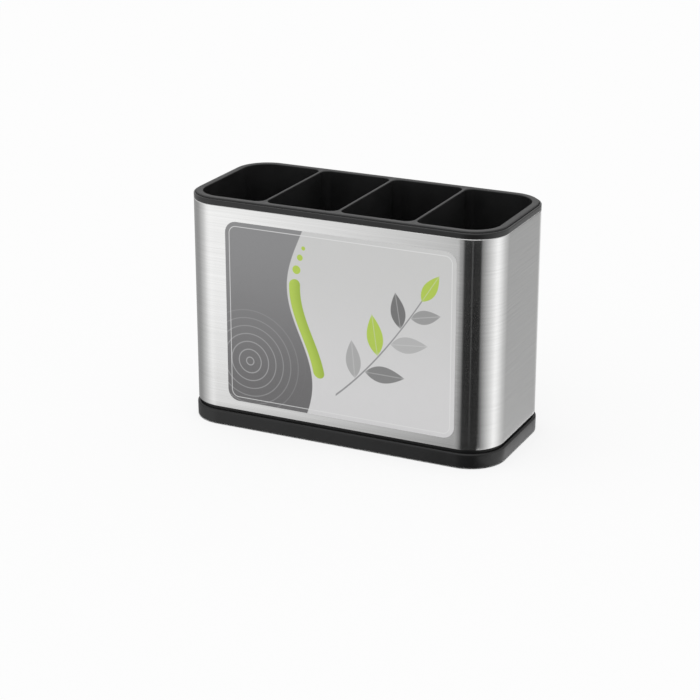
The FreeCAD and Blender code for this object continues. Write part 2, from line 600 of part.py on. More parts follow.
def make_front_label():
    """Sticker on the flat of the sleeve's front."""
    body = new_body("front_label")
    flat_end = "(Sizes.sleeve_length / 2 - Sizes.sleeve_corner)"
    sketch = sketch_on(body, "label_outline", "XZ_Plane", "Sizes.sleeve_depth / 2")
    draw_rounded(
        sketch, f"Sizes.label_left_gap - {flat_end}", f"{flat_end} - Sizes.label_right_gap",
        f"{SLEEVE_FOOT} + Sizes.label_bottom_gap", f"{SLEEVE_TOP} - Sizes.label_top_gap",
        ["Sizes.label_corner"] * 4,
    )
    add(body, "film", sketch, "Sizes.label_film")
    return body


pieces = [
    make_drip_tray(),
    *[make_foot(label) for label in FOOT_PLACES],
    make_drain_spout(),
    make_bottom_ring(),
    make_steel_sleeve(),
    make_top_collar(),
    make_cutlery_insert(),
    make_front_label(),
]
doc.recompute()

faulty = [item.Name for item in doc.Objects if {"Invalid", "Error"} & set(item.State)]
faulty += [piece.Label for piece in pieces if piece.Shape.isNull() or not piece.Shape.isValid()]
faulty += [piece.Label for piece in pieces if len(piece.Shape.Solids) != 1]
if faulty:
    raise RuntimeError(f"not sound: {faulty}")

os.makedirs("parts", exist_ok=True)
for piece in pieces:
    piece.Shape.exportStep(f"parts/{piece.Label}.step")
    box = piece.Shape.BoundBox
    print(
        f"{piece.Label}: volume {piece.Shape.Volume:.1f},",
        f"x {box.XMin:.2f} to {box.XMax:.2f},",
        f"y {box.YMin:.2f} to {box.YMax:.2f},",
        f"z {box.ZMin:.2f} to {box.ZMax:.2f}",
    )
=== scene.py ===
import math

import bmesh
import bpy
import numpy as np
from mathutils import Matrix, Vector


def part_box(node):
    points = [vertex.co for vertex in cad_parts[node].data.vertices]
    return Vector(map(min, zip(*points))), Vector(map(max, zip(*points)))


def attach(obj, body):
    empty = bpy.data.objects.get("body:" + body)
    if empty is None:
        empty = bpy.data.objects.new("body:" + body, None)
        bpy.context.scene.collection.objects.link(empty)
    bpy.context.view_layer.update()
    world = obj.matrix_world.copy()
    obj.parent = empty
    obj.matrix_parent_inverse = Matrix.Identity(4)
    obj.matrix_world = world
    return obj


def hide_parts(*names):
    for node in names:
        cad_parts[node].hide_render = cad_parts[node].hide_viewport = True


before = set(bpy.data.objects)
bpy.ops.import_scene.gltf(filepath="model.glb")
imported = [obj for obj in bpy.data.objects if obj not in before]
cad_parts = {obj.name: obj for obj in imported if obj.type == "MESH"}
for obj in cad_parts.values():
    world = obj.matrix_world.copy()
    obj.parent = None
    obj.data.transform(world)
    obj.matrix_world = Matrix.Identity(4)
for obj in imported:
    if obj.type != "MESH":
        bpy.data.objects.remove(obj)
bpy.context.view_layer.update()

# Rubber feet
# Four soft black discs, pressed into round bosses under the tray so that the holder stands level
# and doesn't slide. Each has a rounded foot edge and a shallow ring moulded into its sole.
MM = 0.001
foot_names = ["foot_front_left", "foot_front_right", "foot_back_left", "foot_back_right"]
foot_edge = 0.5 * MM
foot_turns = 12
sole_ring_share = (0.42, 0.55, 0.68)
sole_ring_depth = 0.25 * MM
rubber_dark = (0.020, 0.020, 0.021, 1)
rubber_dusty = (0.034, 0.034, 0.033, 1)
rubber_mirror = 0.35
rubber_roughness = 0.72
dust_scale = 420
dust_span = (0.42, 0.68)
dust_roughness = 0.18
skin_scale = 5200
skin_strength = 0.25
skin_height = 0.05 * MM


def outline(low, high, radii, turns, long_stops=(), short_stops=()):
    """Points and outward normals round a rectangle with a radius at each corner.

    A corner's points are its centre plus its radius times (cos a, sin a), over a quarter turn. The stops
    are shares of the straight run after a corner, where it gets a point of its own. The four radii go
    low right, high right, high left, low left, and the points run the same way.
    """
    x0, y0, x1, y1 = *low, *high
    across, along = np.asarray(long_stops, float), np.asarray(short_stops, float)
    corners = np.array([(x1, y0), (x1, y1), (x0, y1), (x0, y0)])
    inward = np.array([(-1, 1), (-1, -1), (1, -1), (1, 1)])
    radii = np.asarray(radii, float)
    centres = corners + inward * radii[:, None]
    points, normals = [], []
    for corner in range(4):
        angle = np.linspace(corner - 1, corner, turns + 1) * math.pi / 2
        turn = np.stack([np.cos(angle), np.sin(angle)], axis=1)
        points.append(centres[corner] + radii[corner] * turn)
        normals.append(turn)
        following = (corner + 1) % 4
        facing = turn[-1]
        stops = (along if corner % 2 == 0 else across)[:, None]
        run_start = centres[corner] + radii[corner] * facing
        run_end = centres[following] + radii[following] * facing
        points.append(run_start + stops * (run_end - run_start))
        normals.append(np.repeat(facing[None], len(stops), axis=0))
    return np.concatenate(points), np.concatenate(normals)


def rounded(corners, arc_steps=6, guard=0.12 * MM):
    """A profile through (step, height, radius) corners, with an arc of that radius at each.

    An arc's points swing from one tangent point to the other about its centre, which lies on the
    corner's bisector. Runs longer than five guards get a point beside each end, a guard away, to keep
    them flat.
    """
    spots = np.array([corner[:2] for corner in corners], float)
    parts = [spots[:1]]
    for index in range(1, len(corners) - 1):
        here, radius = spots[index], corners[index][2]
        back = spots[index - 1] - here
        ahead = spots[index + 1] - here
        back, ahead = back / np.linalg.norm(back), ahead / np.linalg.norm(ahead)
        if radius == 0:
            parts.append(here[None])
            continue
        half = math.acos(np.clip(back @ ahead, -1, 1)) / 2
        tangent = radius / math.tan(half)
        centre = here + (back + ahead) / np.linalg.norm(back + ahead) * radius / math.sin(half)
        first, last = here + back * tangent - centre, here + ahead * tangent - centre
        swing = math.pi - 2 * half
        share = np.linspace(0, 1, arc_steps + 1)[:, None]
        swung = np.sin((1 - share) * swing) * first + np.sin(share * swing) * last
        parts.append(centre + swung / math.sin(swing))
    parts.append(spots[-1:])
    guarded = [parts[0]]
    for before, after in zip(parts, parts[1:]):
        run = after[0] - before[-1]
        length = np.linalg.norm(run)
        if length > 5 * guard:
            guarded.append(before[-1:] + run * guard / length)
            guarded.append(after[:1] - run * guard / length)
        guarded.append(after)
    return np.concatenate(guarded)


def carry(ring, profile):
    """A profile carried round an outline: row by row, the outline at the profile's height, moved in by its
    step along the outline's normals."""
    points, normals = ring
    step, height = np.asarray(profile, float).T
    plan = points[None] - step[:, None, None] * normals[None]
    level = np.broadcast_to(height[:, None, None], plan.shape[:2] + (1,))
    return np.concatenate([plan, level], axis=2)


def ring_faces(rows, columns, closed=False):
    """Corner numbers of the quads between neighbouring rows of a grid whose columns run round in a ring. A
    closed grid's last row joins its first one."""
    row = np.arange(rows if closed else rows - 1)[:, None]
    column = np.arange(columns)[None]
    here, above = row * columns, (row + 1) % rows * columns
    after = (column + 1) % columns
    return np.stack([here + column, here + after, above + after, above + column], axis=2).reshape(-1, 4)


WELD = 0.001 * MM
SHARP = math.radians(38)


def make_piece(name, grids, body, node, closed=False, faces=(), edge=0):
    """One object of several ring grids, welded where they meet, which stands for a CAD node. Where an edge
    radius is given, the sharp edges are rounded by it."""
    counts = np.cumsum([0] + [grid.shape[0] * grid.shape[1] for grid in grids])
    corners = [list(face) for face in faces]
    if not corners:
        for grid, first in zip(grids, counts):
            corners += (ring_faces(*grid.shape[:2], closed) + first).tolist()
    mesh = bpy.data.meshes.new(name)
    mesh.from_pydata(np.concatenate([grid.reshape(-1, 3) for grid in grids]), [], corners)
    welded = bmesh.new()
    welded.from_mesh(mesh)
    bmesh.ops.remove_doubles(welded, verts=welded.verts, dist=WELD)
    if edge:
        sharp = [e for e in welded.edges if e.calc_face_angle(0) > SHARP]
        bmesh.ops.bevel(welded, geom=sharp, offset=edge, segments=2, profile=0.5, affect="EDGES")
    welded.to_mesh(mesh)
    welded.free()
    mesh.shade_smooth()
    mesh.set_sharp_from_angle(angle=SHARP)
    piece = bpy.data.objects.new(name, mesh)
    bpy.context.scene.collection.objects.link(piece)
    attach(piece, body)
    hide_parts(node)
    return piece


class Signal:
    """A socket of a node tree. Signals add, subtract, multiply and divide with each other and with numbers,
    each step as a Math node, and node() makes any other node."""

    def __init__(self, tree, socket=None):
        self.tree = tree
        self.socket = socket

    def node(self, kind, settings=None, inputs=None, output=0):
        """A node of a kind: its settings first, then the numbers, colours or signals of its sockets."""
        made = self.tree.nodes.new(kind)
        for name, value in (settings or {}).items():
            if name == "stops":
                made.color_ramp.elements.remove(made.color_ramp.elements[0])
                made.color_ramp.elements[0].position = value[0][0]
                made.color_ramp.elements[0].color = value[0][1]
                for place, colour in value[1:]:
                    made.color_ramp.elements.new(place).color = colour
            else:
                setattr(made, name, value)
        self.feed(made, inputs or {})
        return Signal(self.tree, made.outputs[output])

    def feed(self, made, inputs):
        """Sets a node's sockets, by link from a signal and by value from anything else."""
        for name, value in inputs.items():
            if isinstance(value, Signal):
                self.tree.links.new(value.socket, made.inputs[name])
            else:
                made.inputs[name].default_value = value

    def math(self, operation, first, second=0.0):
        """A Math node of two numbers or signals."""
        return self.node("ShaderNodeMath", {"operation": operation}, {0: first, 1: second})

    def alone(self, operation):
        """A Math node of this signal by itself."""
        return self.node("ShaderNodeMath", {"operation": operation}, {0: self})

    def __add__(self, other):
        return self.math("ADD", self, other)

    def __radd__(self, other):
        return self.math("ADD", other, self)

    def __sub__(self, other):
        return self.math("SUBTRACT", self, other)

    def __rsub__(self, other):
        return self.math("SUBTRACT", other, self)

    def __mul__(self, other):
        return self.math("MULTIPLY", self, other)

    def __rmul__(self, other):
        return self.math("MULTIPLY", other, self)

    def __truediv__(self, other):
        return self.math("DIVIDE", self, other)

    def __abs__(self):
        return self.alone("ABSOLUTE")

    def larger(self, other):
        """The larger of two values."""
        return self.math("MAXIMUM", self, other)

    def smaller(self, other):
        """The smaller of two values."""
        return self.math("MINIMUM", self, other)

    def rise(self, low, high):
        """0 below low, 1 above high, and a smooth step between."""
        limits = {"Value": self, "From Min": low, "From Max": high}
        return self.node("ShaderNodeMapRange", {"interpolation_type": "SMOOTHSTEP"}, limits)

    def blend(self, colour, other):
        """The first colour where the signal is 0, and the other where it is 1."""
        return self.node("ShaderNodeMix", {"data_type": "RGBA"}, {0: self, 6: colour, 7: other}, output=2)

    def grain(self, scale, detail=2.0, roughness=0.5):
        """Noise at a vector signal, about 0.5."""
        settings = {"Vector": self, "Scale": scale, "Detail": detail, "Roughness": roughness}
        return self.node("ShaderNodeTexNoise", {"noise_dimensions": "3D"}, settings)

    def axes(self):
        """The x, y and z of a vector signal."""
        split = self.node("ShaderNodeSeparateXYZ", None, {"Vector": self}).socket.node
        return [Signal(self.tree, output) for output in split.outputs]

    def stretched(self, factors):
        """A vector signal with each axis times its factor."""
        return self.node("ShaderNodeMapping", {"vector_type": "POINT"}, {"Vector": self, "Scale": factors})


def new_finish(name, constants):
    """A material with its shader's constant sockets set. Gives the material, a signal to build its nodes
    from, the shader, and the piece's own coordinates."""
    material = bpy.data.materials.new(name)
    material.use_nodes = True
    shader = material.node_tree.nodes["Principled BSDF"]
    start = Signal(material.node_tree)
    start.feed(shader, constants)
    place = start.node("ShaderNodeTexCoord", output="Object")
    return material, start, shader, place


def rubber_finish():
    """Matt black rubber: dusty in patches, with a fine bloom in its skin."""
    material, start, shader, place = new_finish("foot_rubber_skin", {"Specular IOR Level": rubber_mirror})
    dust = place.grain(dust_scale, detail=3).rise(*dust_span)
    skin = place.grain(skin_scale)
    relief = {"Strength": skin_strength, "Distance": skin_height, "Height": skin}
    start.feed(shader, {
        "Base Color": dust.blend(rubber_dark, rubber_dusty),
        "Roughness": rubber_roughness + dust * dust_roughness,
        "Normal": start.node("ShaderNodeBump", None, relief),
    })
    return material


rubber = rubber_finish()
for foot_name in foot_names:
    foot_low, foot_high = (np.array(corner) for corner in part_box(foot_name))
    foot_radius = (foot_high[0] - foot_low[0]) / 2
    ring_inner, ring_middle, ring_outer = (foot_radius * (1 - share) for share in sole_ring_share)
    foot_profile = rounded([
        (foot_radius, foot_low[2], 0),
        (ring_inner, foot_low[2], 0),
        (ring_middle, foot_low[2] + sole_ring_depth, 0),
        (ring_outer, foot_low[2], 0),
        (0, foot_low[2], foot_edge),
        (0, foot_high[2], foot_edge / 2),
        (foot_radius, foot_high[2], 0),
    ])
    foot_ring = outline(foot_low[:2], foot_high[:2], [foot_radius] * 4, foot_turns)
    foot = make_piece(
        f"{foot_name}_disc", [carry(foot_ring, foot_profile)], "base", foot_name
    )
    foot.data.materials.append(rubber)

# Drip tray
# Shallow moulded basin that stands on the feet and shows as the black base. Its skirt draws in a little at
# the foot, its rim is well rounded, and underneath are the feet's bosses and the rails of the spout.
sleeve_low, sleeve_high = (np.array(corner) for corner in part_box("steel_sleeve"))
tray_low, tray_high = (np.array(corner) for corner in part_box("drip_tray"))
spout_low, spout_high = (np.array(corner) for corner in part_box("drain_spout"))
sleeve_corner = 24.0 * MM
tray_overhang = 0.9 * MM
tray_wall = 1.9 * MM
tray_edge = 1.3 * MM
basin_edge = 0.3 * MM
skirt_draw = 0.1 * MM
skirt_foot_edge = 0.35 * MM
basin_depth = 2.2 * MM
tray_floor = 1.4 * MM
basin_floor = tray_high[2] - basin_depth
tray_underside = basin_floor - tray_floor
basin_round = 0.8 * MM
drain_size = np.array([14.0, 7.0]) * MM
drain_corner = 2.5 * MM
drain_from_mouth = 11.7 * MM
embed = 0.3 * MM
slide_gap = 0.3 * MM
spout_wall = 1.4 * MM
flange_reach = 2.0 * MM
flange_thickness = 1.2 * MM
rail_wall = 1.6 * MM
rail_lip = 1.2 * MM
boss_wall = 2.0 * MM
boss_foot = 1.4 * MM
socket_depth = 1.8 * MM
plan_turns = 28
few_steps = 3
long_ends = (0.01, 0.99)
short_ends = (0.02, 0.98)
black = (0.0060, 0.0060, 0.0063, 1)
black_worn = (0.0110, 0.0110, 0.0114, 1)
cloud_scale = 55
cloud_span = (0.3, 0.72)
cloud_share = 0.6
cloud_roughness = 0.06
spark_scale = 3600
spark_strength = 0.10
spark_height = 0.04 * MM
spark_roughness = 0.08
slant_spread = 0.4


def sleeve_plan(turns, long_stops=(), short_stops=()):
    """The sleeve's plan, which tray, ring, collar and insert all step in or out from."""
    return outline(sleeve_low[:2], sleeve_high[:2], [sleeve_corner] * 4, turns, long_stops, short_stops)


def bar(sections):
    """A bar along Y: closed (x, z) sections one behind the other, each at its own y, which run clockwise
    seen from the front. Corners that fall together weld, so a flange or a wall can end within the bar."""
    return np.stack([
        np.column_stack([corners[:, 0], np.full(len(corners), y), corners[:, 1]])
        for y, corners in sections
    ])


def bar_faces(grid, first=0):
    """The quads between a bar's sections, and its two ends."""
    rows, columns = grid.shape[:2]
    near, far = np.arange(columns), np.arange(columns) + (rows - 1) * columns
    return (ring_faces(rows, columns) + first).tolist() + [list(near[::-1] + first), list(far + first)]


def soft_section(corners, radius):
    """A closed section with every corner rounded alike."""
    lap = [(x, z, radius) for x, z in corners]
    half_way = tuple(np.mean([corners[0], corners[-1]], axis=0)) + (0,)
    return rounded([half_way, *lap, half_way], few_steps)[:-1]


def moulded_black(name, roughness, mirror=0.5, slant_bloom=0.03):
    """Black moulded plastic: a fine spark texture, cloudy gloss, and a greyer bloom here and there and
    where it is seen at a slant."""
    gloss = {"Specular IOR Level": mirror, "Sheen Weight": slant_bloom, "Sheen Roughness": slant_spread}
    material, start, shader, place = new_finish(name, gloss)
    cloud = place.grain(cloud_scale, detail=3).rise(*cloud_span)
    spark = place.grain(spark_scale)
    wear = cloud * cloud_share + spark * (1 - cloud_share)
    relief = {"Strength": spark_strength, "Distance": spark_height, "Height": spark}
    start.feed(shader, {
        "Base Color": wear.blend(black, black_worn),
        "Roughness": roughness + cloud * cloud_roughness + (spark - 0.5) * spark_roughness,
        "Normal": start.node("ShaderNodeBump", None, relief),
    })
    return material


# The spout's mouth is a notch in the skirt at the back, between two stops of the tray's outline.
spout_middle = (spout_low[0] + spout_high[0]) / 2
trough_half = (spout_high[0] - spout_low[0]) / 2 - flange_reach
mouth_half = trough_half + slide_gap
run_start = sleeve_low[0] + sleeve_corner
run_length = sleeve_high[0] - sleeve_low[0] - 2 * sleeve_corner
mouth_stops = (spout_middle + np.array([-mouth_half, mouth_half]) - run_start) / run_length
tray_stops = np.sort(np.concatenate([long_ends, mouth_stops, 1 - mouth_stops]))
tray_ring = sleeve_plan(plan_turns, tray_stops, short_ends)
rim_step = -tray_overhang
foot_step = rim_step + skirt_draw
basin_step = rim_step + tray_wall
hollow_step = basin_step + skirt_draw
lean_share = (tray_underside - tray_low[2]) / (tray_high[2] - tray_low[2])
notch_step = foot_step - skirt_draw * lean_share
upper_profile = rounded([
    (notch_step, tray_underside, 0),
    (rim_step, tray_high[2], tray_edge),
    (basin_step, tray_high[2], basin_edge),
    (basin_step, basin_floor, basin_round),
    (basin_step + 2 * basin_round, basin_floor, 0),
])
lower_profile = rounded([
    (hollow_step, tray_underside, 0),
    (hollow_step, tray_low[2], skirt_foot_edge),
    (foot_step, tray_low[2], skirt_foot_edge),
    (notch_step, tray_underside, 0),
], few_steps)[:-1]
drain_middle = np.array([spout_middle, spout_high[1] - drain_from_mouth])
drain_ring = outline(
    drain_middle - drain_size / 2, drain_middle + drain_size / 2, [drain_corner] * 4,
    plan_turns, tray_stops, short_ends,
)
tray_grid = np.concatenate([
    carry(tray_ring, upper_profile),
    carry(drain_ring, [(0, basin_floor), (0, tray_underside)]),
    carry(tray_ring, lower_profile),
])
tray_rows, tray_columns = tray_grid.shape[:2]
hollow_row = tray_rows - len(lower_profile)
tray_faces = ring_faces(tray_rows, tray_columns, True).reshape(tray_rows, tray_columns, 4)
mouth_sides = np.sort([
    np.argmin(np.abs(tray_ring[0] - (spout_middle + side * mouth_half, sleeve_high[1])).sum(axis=1))
    for side in (-1, 1)
])
mouth_columns = np.arange(mouth_sides[0], mouth_sides[1])
kept = np.ones((tray_rows, tray_columns), bool)
kept[hollow_row:, mouth_columns] = False
skirt_rows = np.append(np.arange(hollow_row, tray_rows), 0)
ceiling = [
    [hollow_row * tray_columns + c, hollow_row * tray_columns + c + 1, c + 1, c] for c in mouth_columns
]
jambs = [
    list(skirt_rows * tray_columns + mouth_sides[0])[::-1],
    list(skirt_rows * tray_columns + mouth_sides[1]),
]
tray_parts = [tray_grid]
tray_corners = tray_faces[kept].tolist() + ceiling + jambs
for foot_name in foot_names:
    foot_low, foot_high = (np.array(corner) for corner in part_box(foot_name))
    socket_radius = (foot_high[0] - foot_low[0]) / 2
    boss_ring = outline(
        foot_low[:2] - boss_wall, foot_high[:2] + boss_wall, [socket_radius + boss_wall] * 4, foot_turns
    )
    tray_parts.append(carry(boss_ring, rounded([
        (socket_radius + boss_wall, boss_foot + socket_depth, 0),
        (boss_wall, boss_foot + socket_depth, 0),
        (boss_wall, boss_foot, 0),
        (0, boss_foot, basin_edge),
        (0, tray_underside + embed, 0),
        (socket_radius + boss_wall, tray_underside + embed, 0),
    ])))
rail_top = spout_high[2] - flange_thickness - slide_gap
rail_foot = rail_top - rail_lip
rail_root = tray_underside + embed
rail_start = spout_low[1] - slide_gap - rail_wall
rail_end = sleeve_high[1] - hollow_step + tray_wall / 2
lip_reach, web_reach, rail_reach = mouth_half + np.array([0, flange_reach, flange_reach + rail_wall])
rail_section = soft_section([
    (rail_reach, rail_foot), (lip_reach, rail_foot), (lip_reach, rail_top), (web_reach, rail_top),
    (web_reach, rail_root), (rail_reach, rail_root),
], basin_edge)
stop_section = soft_section([
    (web_reach, rail_foot), (-web_reach, rail_foot), (-web_reach, rail_root), (web_reach, rail_root),
], basin_edge)
right_rail = rail_section + (spout_middle, 0)
left_rail = rail_section[::-1] * (-1, 1) + (spout_middle, 0)
stop = stop_section + (spout_middle, 0)
bars = [bar([(rail_start, side), (rail_end, side)]) for side in (right_rail, left_rail)]
bars.append(bar([(rail_start + embed, stop), (rail_start + rail_wall, stop)]))
first_corner = tray_grid.shape[0] * tray_grid.shape[1]
for part in tray_parts[1:]:
    tray_corners += (ring_faces(*part.shape[:2]) + first_corner).tolist()
    first_corner += part.shape[0] * part.shape[1]
for part in bars:
    tray_corners += bar_faces(part, first_corner)
    first_corner += part.shape[0] * part.shape[1]
tray = make_piece(
    "drip_tray_moulding", tray_parts + bars, "base", "drip_tray", faces=tray_corners
)
tray.data.materials.append(moulded_black("tray_black", 0.32, mirror=0.45))

# Drain spout
# Narrow trough that slides in the rails under the tray. It is drawn out at the back to lead the drips into
# a sink, its two flanges stop it at the skirt, and a short lip sheds the last drop.
spout_floor = 1.2 * MM
flange_length = 15.5 * MM
drip_lip = 0.6 * MM
spout_edge = 0.25 * MM
spout_end = spout_high[1] - drip_lip
channel_half = trough_half - spout_wall
flange_half = trough_half + flange_reach
channel_floor = spout_low[2] + spout_floor
flange_foot = spout_high[2] - flange_thickness


def spout_section(outer, flange, channel, top, depth):
    """One section of the spout, from its outer half width, its flange's and channel's half widths, the top
    of its walls and the channel's floor."""
    under = min(flange_foot, top)
    right_side = np.array([
        (outer, spout_low[2]), (outer, under), (flange, under), (flange, top), (outer, top), (channel, top),
        (channel, depth),
    ])
    section = np.concatenate([right_side[::-1], right_side * (-1, 1)])
    return section + (spout_middle, 0)


closed_end = spout_section(trough_half, flange_half, channel_half, spout_high[2], spout_high[2])
flanged = spout_section(trough_half, flange_half, channel_half, spout_high[2], channel_floor)
trough = spout_section(trough_half, trough_half, channel_half, spout_high[2], channel_floor)
lip = spout_section(channel_half, channel_half, channel_half, channel_floor, channel_floor)
spout_grid = bar([
    (spout_low[1], closed_end),
    (spout_low[1] + spout_wall, closed_end),
    (spout_low[1] + spout_wall, flanged),
    (spout_low[1] + flange_length, flanged),
    (spout_low[1] + flange_length, trough),
    (spout_end, trough),
    (spout_end, lip),
    (spout_high[1], lip),
])
spout = make_piece(
    "drain_spout_trough", [spout_grid], "spout", "drain_spout",
    faces=bar_faces(spout_grid), edge=spout_edge,
)
spout.data.materials.append(moulded_black("spout_black", 0.36))

# Bottom ring
# Black ring that the sleeve's lower hem sits on. It stands in the tray's basin, so only a thin dark recess
# shows between tray and steel, and its neck reaches up inside the sleeve with a clip on each side.
ring_low, ring_high = (np.array(corner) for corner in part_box("bottom_ring"))
hem_width = 2.4 * MM
sheet = 0.5 * MM
hem_gap = 0.1 * MM
neck_wall = 1.0 * MM
neck_edge = 0.25 * MM
clip_half = 12.0 * MM
clip_height = 1.6 * MM
clip_reach = 1.2 * MM
ring_step = ring_low[0] - sleeve_low[0]
neck_step = sheet + hem_width + hem_gap
bore_step = neck_step + neck_wall


def clips(low_z):
    """The four short bars that snap behind a hem, one at the middle of each side of a neck, each an upright
    section carried along its side."""
    bars = []
    for axis in (0, 1):
        face = sleeve_high[axis] - neck_step
        section = soft_section([
            (face + clip_reach, low_z), (face - neck_wall / 2, low_z),
            (face - neck_wall / 2, low_z + clip_height), (face + clip_reach, low_z + clip_height),
        ], neck_edge)
        right = bar([(-clip_half, section), (clip_half, section)])
        left = bar([(-clip_half, section[::-1] * (-1, 1)), (clip_half, section[::-1] * (-1, 1))])
        turned = [grid[..., [1, 0, 2]] * (-1, 1, 1) for grid in (right, left)]
        bars += turned if axis else [right, left]
    return bars


def with_clips(ring, bars):
    """A ring's grid and its clips, with the faces of them all."""
    count = ring.shape[0] * ring.shape[1]
    faces = ring_faces(*ring.shape[:2]).tolist()
    for grid in bars:
        faces += bar_faces(grid, count)
        count += grid.shape[0] * grid.shape[1]
    return [ring] + bars, faces


black_plan = sleeve_plan(plan_turns, (long_ends[0], 0.5, long_ends[1]), short_ends)
ring_profile = rounded([
    ((ring_step + bore_step) / 2, ring_low[2], 0),
    (ring_step, ring_low[2], neck_edge),
    (ring_step, sleeve_low[2], neck_edge),
    (neck_step, sleeve_low[2], 0),
    (neck_step, ring_high[2], neck_edge),
    (bore_step, ring_high[2], neck_edge),
    (bore_step, ring_low[2], neck_edge),
    ((ring_step + bore_step) / 2, ring_low[2], 0),
])
ring_parts, ring_quads = with_clips(carry(black_plan, ring_profile), clips(sleeve_low[2] + sheet + hem_gap))
bottom_ring = make_piece(
    "bottom_ring_moulding", ring_parts, "shell", "bottom_ring", faces=ring_quads
)
bottom_ring.data.materials.append(moulded_black("ring_black", 0.42, mirror=0.4))

# Steel sleeve
# Tube of thin stainless sheet, bent round four corners and butt welded at the back. The sheet is brushed
# along its length before bending, so the grain runs level all round, and each end is hemmed inward.
hem_bend = 0.7 * MM
hem_inner_bend = 0.15 * MM
seam_half = 0.3 * MM
seam_depth = 0.2 * MM
seam_cuts = np.array([-2.0, -1.0, -0.5, 0, 0.5, 1.0, 2.0]) * seam_half
wall_rows = 44
wall_columns = np.linspace(0.005, 0.995, 60)
end_columns = np.linspace(0.015, 0.985, 18)
bend_turns = 36
sag = 0.09 * MM
sag_along = (2.3, 0.8)
sag_up = (1.6, 0.25)
flat_facing = 0.999
steel_bright = (0.890, 0.890, 0.885, 1)
steel_dull = (0.780, 0.780, 0.775, 1)
steel_roughness = 0.155
hair_scale = (26, 26, 5200)
streak_scale = (9, 9, 900)
hair_share = 0.55
grain_span = (0.3, 0.7)
grain_roughness = 0.06
grain_strength = 0.06
grain_height = 0.02 * MM
smudge_scale = 16
smudge_span = (0.45, 0.75)
smudge_roughness = 0.02
bend_rise = sleeve_low[2] + hem_bend, sleeve_high[2] - hem_bend
wall_heights = np.linspace(*bend_rise, wall_rows)[1:-1]
outer_wall = np.stack([np.zeros_like(wall_heights), wall_heights], axis=1)
hem_step = sheet + hem_width
upper_hem = rounded([
    (0, bend_rise[1] - sheet, 0),
    (0, sleeve_high[2], hem_bend),
    (hem_step, sleeve_high[2], 0),
    (hem_step, sleeve_high[2] - sheet, 0),
    (sheet, sleeve_high[2] - sheet, hem_inner_bend),
    (sheet, (sleeve_low[2] + sleeve_high[2]) / 2, 0),
])[1:]
lower_hem = upper_hem[::-1] * (1, -1) + (0, sleeve_low[2] + sleeve_high[2])
wall_stops = np.sort(np.concatenate([wall_columns, 0.5 + seam_cuts / run_length]))
steel_plan = sleeve_plan(bend_turns, wall_stops, end_columns)
steel_grid = carry(steel_plan, np.concatenate([outer_wall, upper_hem, lower_hem[1:]]))


def settle(grid, normals):
    """Moves the sleeve's outer face in: by the weld's groove near the middle of the back, and by a slight
    sag of the sheet, which is the square of a wave along times a wave up, and fades at hems and corners."""
    x, y, z = grid[..., 0], grid[..., 1], grid[..., 2]
    outer = np.arange(len(grid))[:, None] < len(outer_wall)
    lift = (z - sleeve_low[2]) / (sleeve_high[2] - sleeve_low[2])
    along = x / (run_length / 2)
    level = np.abs(normals[None, :, 1]) > flat_facing
    wave = np.cos(sag_along[0] * math.pi * along + sag_along[1])
    wave = wave * np.sin(math.pi * (sag_up[0] * lift + sag_up[1]))
    dent = sag * wave ** 2 * np.clip(1 - along ** 2, 0, 1) * np.sin(math.pi * np.clip(lift, 0, 1))
    seam = seam_depth * np.clip(1.5 - np.abs(x) / seam_half, 0, 1) * (y > 0)
    depth = np.where(outer & level, dent + seam, 0)
    moved = grid.copy()
    moved[..., :2] -= depth[..., None] * normals[None]
    return moved


def brushed_steel():
    """Stainless sheet brushed level: hair-fine grain in colour, gloss and relief, stretched along the
    perimeter. The shader's grain direction is turned upright, so highlights spread up and down."""
    constants = {"Metallic": 1.0, "Anisotropic": 0.9, "Anisotropic Rotation": 0.25}
    material, start, shader, place = new_finish("brushed_steel_sheet", constants)
    hair = place.stretched(hair_scale).grain(1.0, detail=3, roughness=0.6)
    streak = place.stretched(streak_scale).grain(1.0, detail=4, roughness=0.62)
    smudge = place.grain(smudge_scale, detail=3).rise(*smudge_span)
    grain = hair * hair_share + streak * (1 - hair_share)
    relief = {"Strength": grain_strength, "Distance": grain_height, "Height": grain}
    start.feed(shader, {
        "Base Color": grain.rise(*grain_span).blend(steel_dull, steel_bright),
        "Roughness": steel_roughness + (grain - 0.5) * grain_roughness + smudge * smudge_roughness,
        "Normal": start.node("ShaderNodeBump", None, relief),
    })
    return material


sleeve = make_piece(
    "steel_sleeve_sheet", [settle(steel_grid, steel_plan[1])], "shell", "steel_sleeve",
    closed=True,
)
sleeve.data.materials.append(brushed_steel())

# Top collar
# Black band on top of the sleeve, flush with the steel. Its neck is clipped through the upper hem, and a
# rebate inside its top edge takes the insert's lip, which leaves a fine groove all round.
collar_low, collar_high = (np.array(corner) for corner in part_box("top_collar"))
insert_low, insert_high = (np.array(corner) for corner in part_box("cutlery_insert"))
collar_edge = 0.5 * MM
collar_round = 0.8 * MM
rebate_wall = 1.1 * MM
rebate_edge = 0.12 * MM
lip_height = 2.0 * MM
lip_seat = insert_high[2] - lip_height
collar_profile = rounded([
    (neck_step / 2, sleeve_high[2], 0),
    (0, sleeve_high[2], collar_edge),
    (0, collar_high[2], collar_round),
    (rebate_wall, collar_high[2], rebate_edge),
    (rebate_wall, lip_seat, 0),
    (bore_step, lip_seat, neck_edge),
    (bore_step, collar_low[2], neck_edge),
    (neck_step, collar_low[2], neck_edge),
    (neck_step, sleeve_high[2], 0),
    (neck_step / 2, sleeve_high[2], 0),
])
clip_foot = sleeve_high[2] - sheet - hem_gap - clip_height
collar_parts, collar_quads = with_clips(carry(black_plan, collar_profile), clips(clip_foot))
collar = make_piece(
    "top_collar_band", collar_parts, "shell", "top_collar", faces=collar_quads
)
collar.data.materials.append(moulded_black("collar_black", 0.36, slant_bloom=0.28))

